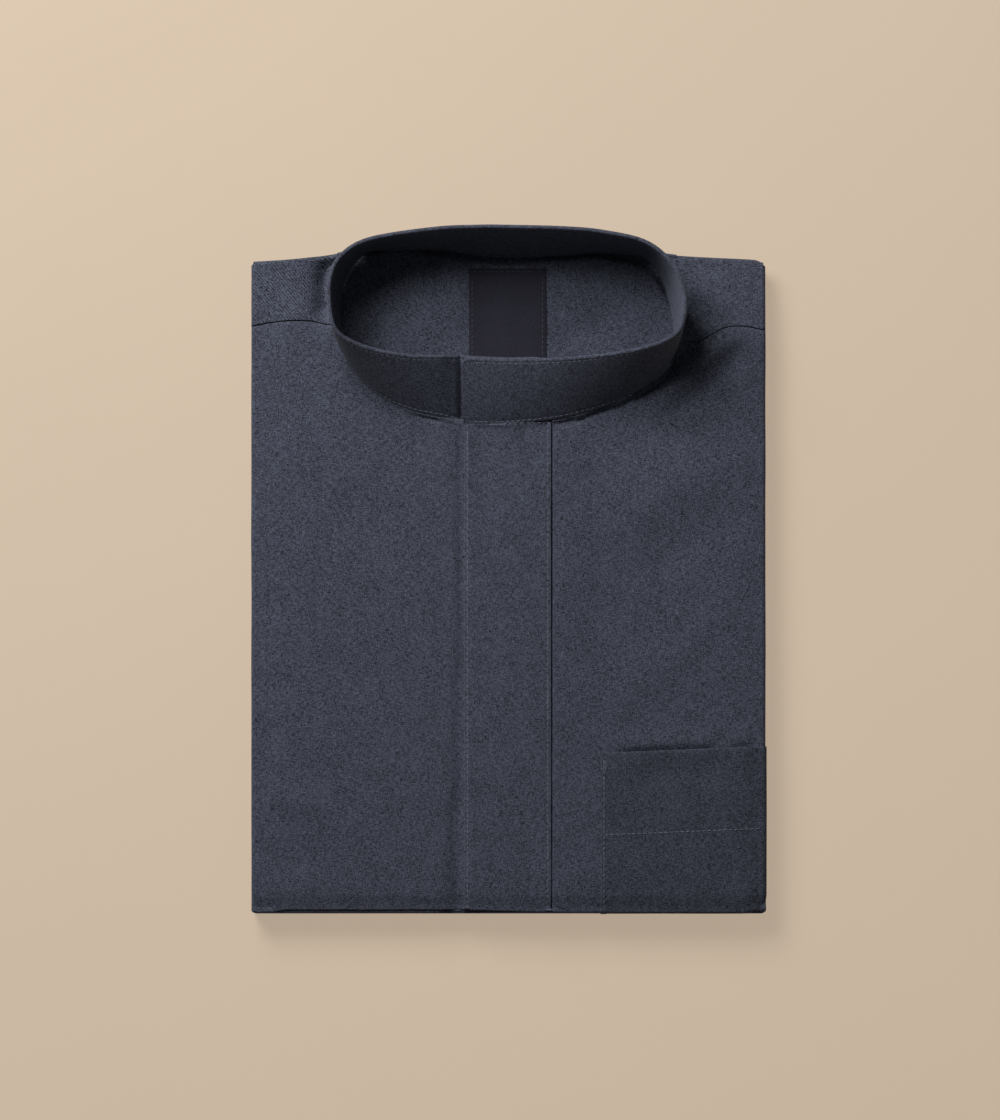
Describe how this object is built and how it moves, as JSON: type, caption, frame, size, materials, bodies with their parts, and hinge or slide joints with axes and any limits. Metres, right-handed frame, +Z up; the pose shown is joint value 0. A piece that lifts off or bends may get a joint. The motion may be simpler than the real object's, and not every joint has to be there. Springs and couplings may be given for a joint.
{
  "type": "folded thobe robe",
  "caption": "Long dark robe folded flat into a stack, its stiff standing band collar propped open above a hidden-button placket and a patch pocket at the foot fold.",
  "frame": {"origin": "middle of the pile's underside, at the centre of its whole outline with the collar", "axes": "+Y from the foot fold to the collar, +Z up off the surface it lies on, +X towards the pocket (the wearer's left)"},
  "size_m": [0.2578, 0.3441, 0.0544],
  "materials": {
    "cloth": "matte melange suiting, plain woven, charcoal navy",
    "label_cloth": "fine woven tape with a slight sheen, dark plum navy"
  },
  "bodies": {
    "root": {"folded_layers": "cloth", "front_right": "cloth", "front_left": "cloth", "yoke": "cloth", "placket": "cloth", "pocket": "cloth", "collar_band": "cloth", "label": "label_cloth"}
  },
  "joints": []
}
